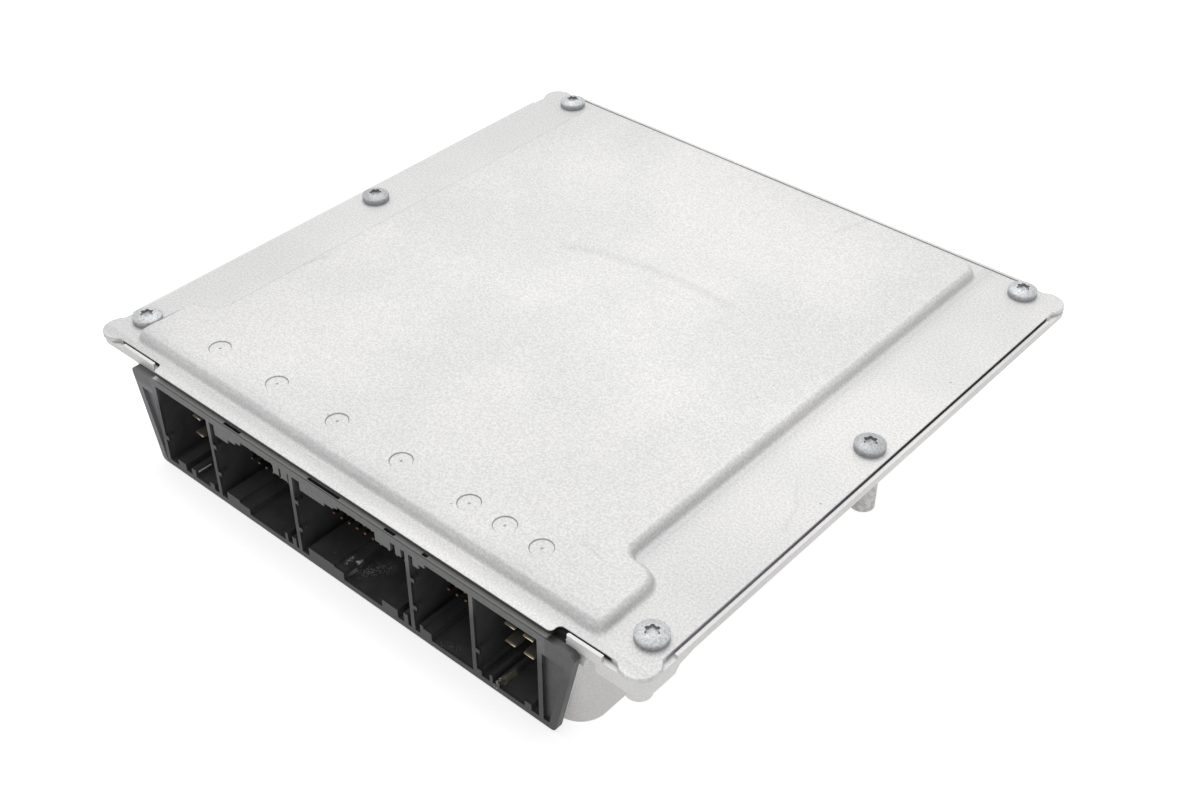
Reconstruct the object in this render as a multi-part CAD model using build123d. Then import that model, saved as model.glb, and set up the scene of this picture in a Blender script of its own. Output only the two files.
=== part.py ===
from build123d import *
import math
import os

# Engine control unit: a die-cast tray, a pressed sheet lid held by six screws,
# and a plastic connector housing with five bays across the front.
# Millimetres. +Z is up and the bays open towards -Y. The origin is at the bottom
# centre of the whole unit, on the plane that it rests on.

# Tray
half_width = 83.5            # centre line to the outer face of the rim
body_depth = 160.7           # front face of the tray to the back of the rim
seat_height = 26.7           # underside to the face that the lid lies on
floor_thick = 2.0
wall_thick = 2.5
wall_draft = 3.0             # degrees
wall_side_inset = 15.0       # side walls from the rim's outer faces, at the lid's seat
wall_front_inset = 0.7       # front wall behind the edge of the flange
wall_back_inset = 2.2
wall_radius_front = 6.5
wall_radius_back = 9.5
flange_thick = 1.35
flange_root = 1.5            # fillet under the flange
pad_inset = 1.0              # raised seat behind the connector's plate, inside its outline
rim_wall = 0.8
rim_end_round = 0.35
rim_break = 6.1              # end of the rim from an ear's axis
rim_side_drop = 0.5          # side rims below the lid's flat edge
rim_left_clear = 0.15        # from the connector's sealant to the short front rims
rim_right_clear = 3.95
base_recess = 0.6            # relief in the underside
base_border = 7.0
base_rib = 3.0
base_ribs = 2

# Ears and bosses of the tray
ear_radius = 4.2
ear_over_side = 0.25         # lid's ears past the rim's outer face
ear_over_front = 0.3
ear_back_inset = 0.45        # rear ears further in than the front ones
flange_back_radius = 5.0
skirt_depth = 4.9            # from the lid's flat face to the foot of the right front ear
skirt_end = -0.55            # end of its full depth, from the front screw
skirt_step = 0.75            # end of the slope behind it
skirt_step_depth = 3.3
skirt_tail = 4.55            # end of the shallow part
skirt_tail_depth = 2.7
skirt_width = 11.5           # from the rim's outer face
web_radius = 4.0             # concave web in each front corner under the flange
foot_radius = 2.8            # round foot under the right front ear
foot_inset = 0.95            # foot's axis inside the ear's centre
foot_depth = 10.1
foot_chamfer = 0.8
boss_radius = 2.8
boss_bore = 1.75
front_boss_depth = 9.8       # from the lid's flat face
side_boss_depth = 16.0
gusset_thick = 1.6
gusset_length = 9.0

# Lid
lid_sheet = 1.2
lid_gap = 0.45               # between the lid's edge and the rim
lid_round = 2.0
ear_blend = 1.6              # concave round where an ear meets a straight edge
tongue_left_inset = 0.65     # ends of the tongue, from the housing's ends
tongue_right_over = 2.15
tongue_reach = 1.3           # past the tray's front face
tongue_round = 1.1
plateau_rise = 2.5
plateau_draft = 17.0         # degrees
plateau_edge = 0.8           # fillet along the raised edge
plateau_foot = 0.6           # fillet where it rises from the flat edge
plateau_left = 17.4          # flat margins round the raised centre's foot, from the rim's outer faces
plateau_right = 22.7
plateau_back = 3.7
plateau_front = 3.45         # before it, to the tray's front face
plateau_corner = 5.2
shoulder_left = 10.1         # margins beside the wider front part
shoulder_right = 13.5
shoulder_depth = 19.5
shoulder_slant = 2.4
shoulder_round = 2.6
spot_radius = 2.75           # pressed spots along the front
spot_depth = 0.2
spot_front = 12.4            # from the tray's front face
spot_first = -52.8
spot_pitch = 20.0
spot_wide_count = 5
spot_narrow_pitch = 10.0
spot_narrow_count = 2

# Screws of the lid
screw_inset = 10.0           # front pair, from the tray's front face
screw_back_inset = 5.3       # rear pair, from the back of the rim; the middle pair stands midway
screw_side_inset = 6.2       # front and middle pairs, from the rim's outer faces
screw_rear_inset = 10.6      # rear pair
screw_head_radius = 3.5
screw_head_height = 2.3
screw_head_band = 1.0        # straight part of the head
screw_shank_radius = 1.65
screw_length = 7.0
screw_hole = 2.0
recess_radius = 1.65         # six-lobe drive
recess_waist = 1.2
recess_depth = 1.3

# Connector housing
plate_thick = 1.8
plate_top_drop = 1.1         # top of the plate below the lid's seat
plate_bottom = 0.42          # foot of the plate above the underside
plate_top_half = 68.7
plate_bottom_half = 63.0
plate_top_round = 1.4
plate_bottom_round = 1.4
panel_recess = 0.9           # relief in the plate beside the end bays
panel_top = 4.84
panel_border = 1.9
top_wall = 1.81
bay_floor = 2.0              # above the underside
bay_left = -59.85            # left wall of the first bay
bay_widths = (18.3, 26.9, 34.8, 17.0, 17.2)
divider = 1.1
end_wall = 1.2
bay_depth = 17.6             # mouth to carrier
crest_front = 1.1            # raised crest that meets the lid, from the tray's front face
crest_width = 2.6
under_skin = 0.8             # tray's floor under the housing
under_bead = 0.4             # sealant below the housing
side_bead = 0.8              # sealant at each end
bead_width = 2.2
key_depth = 14.0             # keying blocks run back from the mouth
lug_size = 1.1               # square lugs on the left wall of each bay, at the mouth
lug_depth = 1.7
slot_depth = 0.9             # coding slots in the top of the plate
slot_run = 0.9
slot_lip = 0.5               # from the plate's front face
# Blocks in the bays, bay by bay: distance from the left wall, width, height
ceiling_keys = (
    (),
    ((1.6, 4.6, 2.9), (6.2, 2.7, 1.8), (8.9, 1.9, 1.0), (21.8, 1.9, 2.3), (24.4, 2.1, 2.4)),
    ((2.5, 7.7, 2.35), (10.2, 2.9, 1.4), (13.1, 1.4, 0.75), (26.0, 4.6, 2.3), (32.0, 1.7, 2.3)),
    ((1.2, 1.75, 2.3), (2.95, 1.75, 1.05)),
    (),
)
floor_keys = (
    ((3.2, 2.9, 1.8), (8.3, 1.5, 2.0), (15.0, 1.6, 1.6)),
    ((2.0, 4.4, 2.3), (6.4, 3.6, 1.6), (22.3, 0.9, 2.3), (24.8, 1.3, 2.4)),
    ((2.3, 8.4, 2.5), (10.7, 3.0, 2.1), (25.8, 4.8, 2.2), (32.5, 1.3, 2.8)),
    ((1.5, 1.0, 2.6), (2.5, 2.4, 2.0)),
    ((0.0, 1.3, 1.3), (3.6, 0.8, 2.1), (5.3, 1.0, 1.4), (13.3, 1.8, 1.6)),
)
# Feet of the lugs on the left wall of each bay, above the underside
lug_feet = ((8.2,), (8.2, 16.2), (8.2, 16.2), (8.2, 16.2), (8.2,))
# Coding slots in the top of the plate, bay by bay: distance from the left wall, width
top_slots = ((), ((4.6, 5.7),), ((4.7, 9.9), (28.2, 3.2)), ((3.4, 1.6),), ())

# Contacts
carrier_thick = 2.5
carrier_play = 0.05
row_centre = 12.9            # middle of the contact rows above the underside
pin_size = 0.64
pin_pitch = 2.54
pin_rows = 4
pin_columns = (10, 13, 6)
pin_tip_inset = 8.0          # from the mouth
pin_taper = 0.17
blade_width = 2.8
blade_thick = 0.8
blade_pitch = 5.08
blade_count = 3
blade_tip_inset = 6.3
blade_taper = 0.25
leg_start = 1.7              # first row of legs behind the carriers

# Board and what stands on it
board_thick = 1.6
board_height = 5.0           # its underside above the tray's underside
board_play = 0.6             # to the walls
board_front_play = 0.3
board_round = 7.0
board_front_round = 1.0
post_radius = 3.0
post_side_inset = 8.5        # from the outer faces of the side walls
post_front = 19.15           # front pair, behind the housing
post_back = 8.8              # rear pair, from the board's back edge
board_screw_radius = 1.4
board_screw_bore = 1.5
board_screw_length = 4.5
board_head_radius = 2.75
board_head_height = 1.9
pad_thick = 0.5
pad_size = (24.0, 16.0)
pad_row = 96.8               # this and the rows that follow: before the board's back edge
pad_reach = 40.0
chip_chamfer = 0.3
processor_row = 48.8
processor_size = (24.0, 24.0)
processor_height = 2.6
memory_x = 26.0
memory_size = (14.0, 11.0)
memory_height = 1.6
driver_first = -46.0
driver_pitch = 18.0
driver_count = 6
driver_row = 104.8
driver_size = (14.0, 10.0)
driver_height = 2.4
transistor_places = (20.0, 34.0, 48.0)
transistor_row = 86.8
regulator_x = -46.0
regulator_row = 24.8
power_size = (10.0, 9.0)     # transistors and regulator
power_height = 4.4
crystal_row = 28.8
crystal_size = (11.0, 4.6)
crystal_height = 3.4
choke_x = -26.0
choke_row = 19.8
choke_size = 13.0
choke_base = 6.0
choke_crown = 5.4            # radius of its round crown
choke_height = 8.0
bulk_places = (18.0, 34.0, 50.0)
bulk_row = 16.8
bulk_radius = 6.3
bulk_height = 15.5
small_places = (-50.0, -42.0, 42.0, 50.0)
small_rows = (66.8, 58.8, 50.8)
small_size = (3.2, 1.6)
small_height = 1.6
shunt_places = (-8.0, 0.0, 8.0)
shunt_row = 82.8
shunt_size = (6.3, 3.2)
shunt_height = 0.9
diode_places = (10.0, 20.0, 30.0)
diode_row = 72.8
diode_size = (5.0, 3.6)
diode_height = 2.3

# Seal under the lid
seal_width = 1.1
seal_depth = 0.6
seal_front = 2.25            # centre of the seal from the tray's front face
seal_back = 1.95             # from the back of the rim
seal_right = 11.9            # from the rim's outer faces
seal_left = 9.15
seal_behind = 14.2           # inside the rear screws
seal_step = 12.0             # start of the step, before the rear screws
seal_round = 2.0

# Ways of building
near = 0.1                   # search margin round an edge or corner
level = 0.01                 # search margin round a height

# Levels and places that follow
back_y = (body_depth + plate_thick) / 2
front_y = back_y - body_depth
mouth_y = front_y - plate_thick
wall_half_width = half_width - wall_side_inset
lid_top = seat_height + lid_sheet
flange_under = seat_height - flange_thick
wall_front_y = front_y + wall_front_inset
wall_back_y = back_y - wall_back_inset
lid_edge_x = half_width - rim_wall - lid_gap
lid_edge_front = front_y + rim_wall + lid_gap
lid_edge_back = back_y - rim_wall - lid_gap
ear_x = half_width + ear_over_side - ear_radius
ear_front_y = front_y - ear_over_front + ear_radius
ear_back_y = back_y - ear_radius - ear_back_inset
ear_back_x = ear_x - ear_back_inset
screw_front_y = front_y + screw_inset
screw_back_y = back_y - screw_back_inset
plate_top = seat_height - plate_top_drop
bay_top = plate_top - top_wall
bay_back_y = mouth_y + bay_depth
housing_back_y = bay_back_y + carrier_thick
housing_left = bay_left - end_wall
housing_right = bay_left + sum(bay_widths) + divider * (len(bay_widths) - 1) + end_wall
housing_under = under_skin + under_bead
board_top = board_height + board_thick
slope = math.tan(math.radians(wall_draft))
board_inset = wall_thick + (seat_height - board_height) * slope + board_play
board_back = wall_back_y - board_inset


def bays():
    """Left edge and width of each bay, from left to right."""
    edges = []
    left = bay_left
    for width in bay_widths:
        edges.append((left, width))
        left += width + divider
    return edges


def screw_places():
    """Axes of the six lid screws."""
    x = half_width - screw_side_inset
    middle = (screw_front_y + screw_back_y) / 2
    rows = ((x, screw_front_y), (x, middle), (half_width - screw_rear_inset, screw_back_y))
    return [(side * x, y) for x, y in rows for side in (-1, 1)]


def post_places():
    """Axes of the posts that carry the board."""
    x = wall_half_width - post_side_inset
    return [(side * x, y) for y in (housing_back_y + post_front, board_back - post_back) for side in (-1, 1)]


def block(x0, x1, y0, y1, z0, z1):
    """Box between two corners."""
    return Pos((x0 + x1) / 2, (y0 + y1) / 2, (z0 + z1) / 2) * Box(x1 - x0, y1 - y0, z1 - z0)


def rounded_face(corners, z):
    """Flat face at height z through corner points, each given as x, y and its radius."""
    points = [(x, y) for x, y, radius in corners]
    radii = [radius for x, y, radius in corners]
    outline = FilletPolyline(*points, radius=radii, close=True)
    return Pos(0, 0, z) * make_face(outline)


def column(x, y, radius, z0, z1):
    """Upright cylinder between two heights."""
    return Pos(x, y, (z0 + z1) / 2) * Cylinder(radius, z1 - z0)


def save(name, shape):
    """Write one sub-part."""
    export_step(shape, "parts/" + name + ".step")


def save_group(name, solids):
    """Write like pieces as separate solids of one sub-part."""
    save(name, Compound(children=list(solids)))


def wall_face(inset, z):
    """Plan of the tray's walls, moved inwards, at height z; the walls lean in by their draft."""
    lean = inset + (seat_height - z) * slope
    x = wall_half_width - lean
    y0 = wall_front_y + lean
    y1 = wall_back_y - lean
    front = wall_radius_front - inset
    back = wall_radius_back - inset
    return rounded_face([(-x, y0, front), (x, y0, front), (x, y1, back), (-x, y1, back)], z)


def flange_face(inset, z):
    """Plan of the tray's flange, moved inwards, at height z."""
    x = half_width - inset
    front = ear_radius - ear_over_side - inset
    back = flange_back_radius - inset
    y0, y1 = front_y + inset, back_y - inset
    return rounded_face([(-x, y0, front), (x, y0, front), (x, y1, back), (-x, y1, back)], z)


def ear_centres():
    """Axes of the four ears."""
    return [(side * x, y) for x, y in ((ear_x, ear_front_y), (ear_back_x, ear_back_y)) for side in (-1, 1)]


def rim():
    """Upright rim round the lid: broken at the ears, lower on the sides, open across the connector."""
    plan = flange_face(0, 0) - flange_face(rim_wall, 0)
    left = housing_left - side_bead - rim_left_clear
    right = housing_right + side_bead + rim_right_clear
    plan -= Pos((left + right) / 2, front_y) * Rectangle(right - left, 2 * rim_wall)
    ends = [v for v in plan.vertices() if abs(v.X) < right + near and v.Y < lid_edge_front]
    plan = fillet(ends, rim_end_round)
    for x, y in ear_centres():
        plan -= Pos(x, y) * Rectangle(2 * rim_break, 2 * rim_break)
    shape = extrude(Pos(0, 0, seat_height) * plan, lid_sheet)
    side = half_width - rim_wall
    for x0, x1 in ((-half_width, -side), (side, half_width)):
        shape -= block(x0, x1, ear_front_y, ear_back_y, lid_top - rim_side_drop, lid_top)
    return shape


def skirt():
    """Thick corner under the right front ear, shallower behind the screw."""
    foot = lid_top - skirt_depth
    steps = ((skirt_end, skirt_depth), (skirt_step, skirt_step_depth), (skirt_tail, skirt_tail_depth))
    sides = [(front_y, flange_under), (front_y, foot)]
    sides += [(screw_front_y + along, lid_top - depth) for along, depth in steps]
    sides += [(screw_front_y + skirt_tail, flange_under)]
    profile = make_face(Plane.YZ * Polyline(*sides, close=True))
    shape = Pos(half_width - skirt_width, 0, 0) * extrude(profile, skirt_width)
    return shape & extrude(flange_face(0, foot), flange_under - foot)


def corner_web(side):
    """Concave web between the flange and the side wall at a front corner."""
    wall = wall_half_width - wall_thick
    x = wall_half_width + web_radius
    low = flange_under - web_radius
    half = math.sqrt(0.5) * web_radius
    arc = ThreePointArc((wall_half_width, low), (x - half, low + half), (x, flange_under))
    lines = Polyline((x, flange_under), (wall, flange_under), (wall, low), (wall_half_width, low))
    profile = make_face(Plane.XZ.offset(-wall_front_y - wall_thick) * (arc + lines))
    web = extrude(profile, wall_thick)
    return web if side > 0 else mirror(web, Plane.YZ)


def ears_and_bosses():
    """Thick corner and foot on the right, corner webs, screw bosses and gussets under the flange."""
    foot = lid_top - skirt_depth
    shape = skirt() + corner_web(-1) + corner_web(1)
    depths = (front_boss_depth, side_boss_depth, side_boss_depth)
    for index, (x, y) in enumerate(screw_places()):
        bottom = lid_top - depths[index // 2]
        shape += column(x, y, boss_radius, bottom, flange_under)
        if index // 2 == 1:
            profile = Polyline((y, bottom), (y, flange_under), (y + gusset_length, flange_under), close=True)
            web = extrude(make_face(Plane.YZ * profile), gusset_thick / 2, both=True)
            shape += Pos(x, 0, 0) * web
    peg = column(ear_x - foot_inset, ear_front_y + foot_inset, foot_radius, lid_top - foot_depth, foot)
    return shape + chamfer(peg.faces().sort_by(Axis.Z)[0].edges(), foot_chamfer)


def seal_path(offset, z):
    """Outline of the seal under the lid, moved outwards by offset."""
    y0 = front_y + seal_front - offset
    y1 = back_y - seal_back + offset
    step = screw_back_y - seal_step
    right = half_width - seal_right + offset
    left = -half_width + seal_left - offset
    behind = half_width - seal_behind + offset
    r = seal_round + offset
    corners = [(left, y0, r), (right, y0, r), (right, step, r), (behind, step + seal_behind - seal_right, r)]
    corners += [(behind, y1, r), (-behind, y1, r)]
    corners += [(-behind, step + seal_behind - seal_left, r), (left, step, r)]
    return rounded_face(corners, z)


def seal_ring():
    """Bead that lies in a groove of the tray's flange and of the housing's crest."""
    z = seat_height - seal_depth
    outer = extrude(seal_path(seal_width / 2, z), seal_depth)
    return outer - extrude(seal_path(-seal_width / 2, z), seal_depth)


def connector_notch():
    """Room for the connector housing in the tray's front wall and floor."""
    x0 = housing_left - side_bead
    x1 = housing_right + side_bead
    notch = block(x0, x1, mouth_y, housing_back_y, under_skin, seat_height)
    return notch + block(x1, x1 + rim_right_clear, mouth_y, lid_edge_front, flange_under, seat_height)


def connector_pad():
    """Upright seat on the drafted front wall, behind the connector's plate."""
    outline = offset(plate_face(), amount=-pad_inset)
    pad = extrude(Plane.XZ.offset(-wall_front_y - wall_thick) * outline, wall_front_inset + wall_thick)
    return pad & block(-half_width, half_width, front_y, wall_front_y + wall_thick, 0, flange_under)


def tray_body():
    """Drafted walls under the flange, blended into it."""
    shape = loft([wall_face(0, 0), wall_face(0, seat_height)])
    shape += extrude(flange_face(0, flange_under), flange_thick)
    root = shape.edges().filter_by_position(Axis.Z, flange_under - level, flange_under + level)
    low, high = -half_width + flange_root, half_width - flange_root
    root = root.filter_by_position(Axis.X, low, high).filter_by_position(Axis.Y, wall_front_y, back_y - flange_root)
    return fillet(root, flange_root / 2)


def tray():
    """One casting: floor, drafted walls, flange, rim, bosses, posts and pedestals."""
    shape = tray_body() + ears_and_bosses() + connector_pad()
    shape -= loft([wall_face(wall_thick, floor_thick), wall_face(wall_thick, seat_height)])
    shape += rim()
    shape -= connector_notch()
    shape -= underside_relief()
    for x, y in post_places():
        shape += column(x, y, post_radius, floor_thick, board_height)
        shape -= column(x, y, board_screw_bore, board_height - board_screw_length + board_thick, board_height)
    for x, y in pad_places():
        shape += block(*around(x, y, pad_size), floor_thick, board_height - pad_thick)
    for x, y in screw_places():
        shape -= column(x, y, boss_bore, seat_height - screw_length, seat_height)
    return shape - seal_ring()


def underside_relief():
    """Shallow pockets in the underside, between a border and cross ribs."""
    lean = seat_height * slope + base_border
    x = wall_half_width - lean
    y0 = housing_back_y + base_border
    y1 = wall_back_y - lean
    pocket = (y1 - y0 - base_rib * base_ribs) / (base_ribs + 1)
    shape = Part()
    for index in range(base_ribs + 1):
        start = y0 + index * (pocket + base_rib)
        shape += block(-x, x, start, start + pocket, 0, base_recess)
    return shape


def around(x, y, size):
    """Limits in x and y of a rectangle about a point."""
    return x - size[0] / 2, x + size[0] / 2, y - size[1] / 2, y + size[1] / 2


def plateau(inset, z, height):
    """Raised centre of the lid: a drafted block on its outline."""
    x0, x1 = -half_width + plateau_left + inset, half_width - plateau_right - inset
    wide0, wide1 = -half_width + shoulder_left + inset, half_width - shoulder_right - inset
    y0, y1 = front_y + plateau_front + inset, back_y - plateau_back - inset
    jog = y0 + shoulder_depth - inset
    corner = plateau_corner - inset
    small = shoulder_round
    corners = [(wide0, y0, small), (wide1, y0, small), (wide1, jog - inset, corner)]
    corners += [(x1, jog - inset, small), (x1, y1, corner), (x0, y1, corner)]
    corners += [(x0, jog - inset, small), (wide0, jog - shoulder_slant - inset, small)]
    return extrude(rounded_face(corners, z), height, taper=plateau_draft)


def lid_blank():
    """Flat outline of the lid: a rectangle with a front tongue, four ears and reliefs."""
    y0, y1 = lid_edge_front, lid_edge_back
    tip = front_y - tongue_reach
    left, right = housing_left + tongue_left_inset, housing_right + tongue_right_over
    x = lid_edge_x
    corners = [(-x, y0, lid_round), (left, y0, tongue_round), (left, tip, tongue_round)]
    corners += [(right, tip, tongue_round), (right, y0, tongue_round), (x, y0, lid_round)]
    corners += [(x, y1, lid_round), (-x, y1, lid_round)]
    face = rounded_face(corners, 0)
    for x, y in ear_centres():
        face += Pos(x, y) * Circle(ear_radius)
    for x, y in ear_centres():
        joins = [v for v in face.vertices() if math.hypot(v.X - x, v.Y - y) < ear_radius + near]
        face = fillet(joins, ear_blend)
    return face


def lid():
    """Pressed sheet with a hollow raised centre and pressed spots."""
    shape = extrude(Pos(0, 0, seat_height) * lid_blank(), lid_sheet)
    raised = plateau(0, lid_top, plateau_rise)
    raised = fillet(raised.faces().sort_by(Axis.Z)[-1].edges(), plateau_edge)
    shape += raised
    foot = shape.edges().filter_by_position(Axis.Z, lid_top - level, lid_top + level)
    low, high = -half_width + shoulder_left - near, half_width - shoulder_right + near
    foot = foot.filter_by_position(Axis.X, low, high)
    foot = foot.filter_by_position(Axis.Y, front_y + plateau_front - near, back_y - plateau_back + near)
    shape = fillet(foot, plateau_foot)
    shape -= plateau(lid_sheet, seat_height, plateau_rise)
    face_z = lid_top + plateau_rise
    for x in spot_places():
        shape -= column(x, front_y + spot_front, spot_radius, face_z - spot_depth, face_z)
    for x, y in screw_places():
        shape -= column(x, y, screw_hole, seat_height, lid_top)
    return shape


def spot_places():
    """Centres across the front of the pressed spots: wide steps, then narrow ones."""
    wide = [spot_first + spot_pitch * index for index in range(spot_wide_count)]
    narrow = [wide[-1] + spot_narrow_pitch * (index + 1) for index in range(spot_narrow_count)]
    return wide + narrow


def recess_face():
    """Six-lobe star of the drive."""
    lobes = 6
    points = []
    for index in range(2 * lobes):
        angle = math.pi * index / lobes
        radius = recess_radius if index % 2 == 0 else recess_waist
        points.append((radius * math.cos(angle), radius * math.sin(angle)))
    return make_face(Polyline(*points, close=True))


def lid_screw():
    """Pan-head screw with its head's face on the lid."""
    radius, height = screw_head_radius, screw_head_height
    sides = Polyline((0, height), (0, 0), (radius, 0), (radius, screw_head_band))
    rise = height - screw_head_band
    ball = (radius**2 + rise**2) / (2 * rise)
    crown = (radius / 2, height - ball + math.sqrt(ball**2 - radius**2 / 4))
    dome = ThreePointArc((radius, screw_head_band), crown, (0, height))
    shape = revolve(make_face(Plane.XZ * (sides + dome)), Axis.Z)
    shape += column(0, 0, screw_shank_radius, lid_sheet - screw_length, 0)
    drive = Pos(0, 0, height - recess_depth) * recess_face()
    return shape - extrude(drive, height)


def plate_face():
    """Trapezoid outline of the connector's front plate, seen from the front."""
    top, bottom = plate_top_half, plate_bottom_half
    corners = [(-bottom, plate_bottom), (bottom, plate_bottom), (top, plate_top), (-top, plate_top)]
    radii = (plate_bottom_round, plate_bottom_round, plate_top_round, plate_top_round)
    return make_face(FilletPolyline(*corners, radius=radii, close=True))


def housing_plate():
    """Trapezoid front plate with relieved end panels."""
    top, bottom = plate_top_half, plate_bottom_half
    plate = extrude(Plane.XZ.offset(-front_y) * plate_face(), plate_thick)
    lean = (top - bottom) / (plate_top - plate_bottom)
    z0, z1 = bay_floor, plate_top - panel_top
    for side, end in ((-1, -housing_left), (1, housing_right)):
        low = bottom + (z0 - plate_bottom) * lean - panel_border
        high = bottom + (z1 - plate_bottom) * lean - panel_border
        points = [(side * end, z0), (side * low, z0), (side * high, z1), (side * end, z1)]
        panel = make_face(Polyline(*points, close=True))
        plate -= extrude(Plane.XZ.offset(-front_y + plate_thick) * panel, -panel_recess)
    return plate


def keys():
    """Keying blocks on the ceilings and floors of the bays, and lugs on their left walls."""
    y0, y1 = mouth_y, mouth_y + key_depth
    shape = Part()
    for (left, width), hanging, standing, feet in zip(bays(), ceiling_keys, floor_keys, lug_feet):
        for start, wide, tall in hanging:
            x = left + start
            shape += block(x, x + wide, y0, y1, bay_top - tall, bay_top)
        for start, wide, tall in standing:
            x = left + start
            shape += block(x, x + wide, y0, y1, bay_floor, bay_floor + tall)
        for z in feet:
            shape += block(left, left + lug_size, y0, y0 + lug_depth, z, z + lug_size)
    return shape


def coding_slots():
    """Small pockets in the top of the front plate."""
    y0 = mouth_y + slot_lip
    shape = Part()
    for (left, width), slots in zip(bays(), top_slots):
        for start, wide in slots:
            x = left + start
            shape += block(x, x + wide, y0, y0 + slot_run, plate_top - slot_depth, plate_top)
    return shape


def connector_housing():
    """Moulded housing: front plate, a five-bay box behind it, and a crest under the lid."""
    shape = housing_plate()
    x0, x1 = housing_left, housing_right
    shape += block(x0, x1, front_y, housing_back_y, housing_under, plate_top)
    crest_y = front_y + crest_front
    shape += block(x0, x1, crest_y, crest_y + crest_width, plate_top, seat_height)
    for left, width in bays():
        shape -= block(left, left + width, mouth_y, housing_back_y, bay_floor, bay_top)
    return shape + keys() - coding_slots() - seal_ring()


def carrier(left, width, holes):
    """Plate that closes the back of a bay, moulded round its contacts."""
    x0, x1 = left + carrier_play, left + width - carrier_play
    z0, z1 = bay_floor + carrier_play, bay_top - carrier_play
    return block(x0, x1, bay_back_y, housing_back_y, z0, z1) - holes


def contact(size, thick, tip_y, tip_taper, height, leg_y):
    """Right-angle contact: a tapered tip, a straight run and a leg down to the board."""
    low, high = height - thick / 2, height + thick / 2
    near, far = leg_y - thick / 2, leg_y + thick / 2
    points = [(tip_y, low + tip_taper), (tip_y + thick, low), (near, low), (near, board_top)]
    points += [(far, board_top), (far, high), (tip_y + thick, high), (tip_y, high - tip_taper)]
    profile = make_face(Plane.YZ * Polyline(*points, close=True))
    return extrude(profile, size / 2, both=True)


def contact_bay(index, columns, rows, pitch, size, thick, tip_inset, taper):
    """Contacts of one bay and the carrier that holds them."""
    left, width = bays()[index]
    middle = left + width / 2
    contacts = []
    holes = []
    for row in range(rows):
        height = row_centre + (row - (rows - 1) / 2) * pitch
        leg_y = housing_back_y + leg_start + row * pitch
        sample = contact(size, thick, mouth_y + tip_inset, taper, height, leg_y)
        for col in range(columns):
            x = middle + (col - (columns - 1) / 2) * pitch
            contacts.append(Pos(x, 0, 0) * sample)
            limits = around(x, height, (size, thick))
            holes.append(block(limits[0], limits[1], bay_back_y, housing_back_y, limits[2], limits[3]))
    return contacts, carrier(left, width, holes)


def connector_seal():
    """Sealant round the housing where it passes through the tray's notch."""
    x0, x1 = housing_left, housing_right
    y0 = front_y + crest_front
    y1 = y0 + bead_width
    top = seat_height - seal_depth
    outer = block(x0 - side_bead, x1 + side_bead, y0, y1, under_skin, top)
    return outer - block(x0, x1, y0, y1, housing_under, top)


def circuit_board():
    """Board between the walls, with holes over the posts."""
    x = wall_half_width - board_inset
    y0, y1 = housing_back_y + board_front_play, board_back
    front = board_front_round
    corners = [(-x, y0, front), (x, y0, front), (x, y1, board_round), (-x, y1, board_round)]
    shape = extrude(rounded_face(corners, board_height), board_thick)
    for px, py in post_places():
        shape -= column(px, py, board_screw_bore, board_height, board_top)
    return shape


def board_screw():
    """Small pan-head screw through the board into a post."""
    head = column(0, 0, board_head_radius, 0, board_head_height)
    return head + column(0, 0, board_screw_radius, -board_screw_length, 0)


def chip(x, y, size, height):
    """Moulded package on the board."""
    body = block(*around(x, y, size), board_top, board_top + height)
    return chamfer(body.faces().sort_by(Axis.Z)[-1].edges(), chip_chamfer)


def chips(xs, rows, size, height):
    """Packages on a grid; the rows are distances from the board's back edge."""
    return [chip(x, board_back - row, size, height) for row in rows for x in xs]


def can(x, y, radius, height):
    """Round capacitor standing on the board."""
    return column(x, y, radius, board_top, board_top + height)


def choke(x, y):
    """Wound choke: a square block with a round crown."""
    base = block(*around(x, y, (choke_size, choke_size)), board_top, board_top + choke_base)
    return base + column(x, y, choke_crown, board_top + choke_base, board_top + choke_height)


def pad_places():
    """Pedestals under the hot parts of the board."""
    row = [(x, board_back - pad_row) for x in (-pad_reach, 0, pad_reach)]
    return row + [(0, board_back - processor_row)]


def thermal_pads():
    """Soft pads between the pedestals and the board."""
    return [block(*around(x, y, pad_size), board_height - pad_thick, board_height) for x, y in pad_places()]


def both_sides(places):
    """Places on the right of the centre line, and the same on the left."""
    return [-x for x in places] + list(places)


os.makedirs("parts", exist_ok=True)

save("tray", tray())
save("lid", lid())
save("lid_seal", seal_ring())
save("connector_housing", connector_housing())
save("connector_seal", connector_seal())
save_group("lid_screws", [Pos(x, y, lid_top) * lid_screw() for x, y in screw_places()])

signal_names = ("left", "middle", "right")
for name, index, columns in zip(signal_names, (1, 2, 3), pin_columns):
    pins, plate = contact_bay(
        index, columns, pin_rows, pin_pitch, pin_size, pin_size, pin_tip_inset, pin_taper
    )
    save_group("signal_pins_" + name, pins)
    save("signal_carrier_" + name, plate)
for name, index in (("left", 0), ("right", len(bay_widths) - 1)):
    blades, plate = contact_bay(
        index, blade_count, blade_count, blade_pitch, blade_width, blade_thick, blade_tip_inset, blade_taper
    )
    save_group("power_blades_" + name, blades)
    save("power_carrier_" + name, plate)

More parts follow.
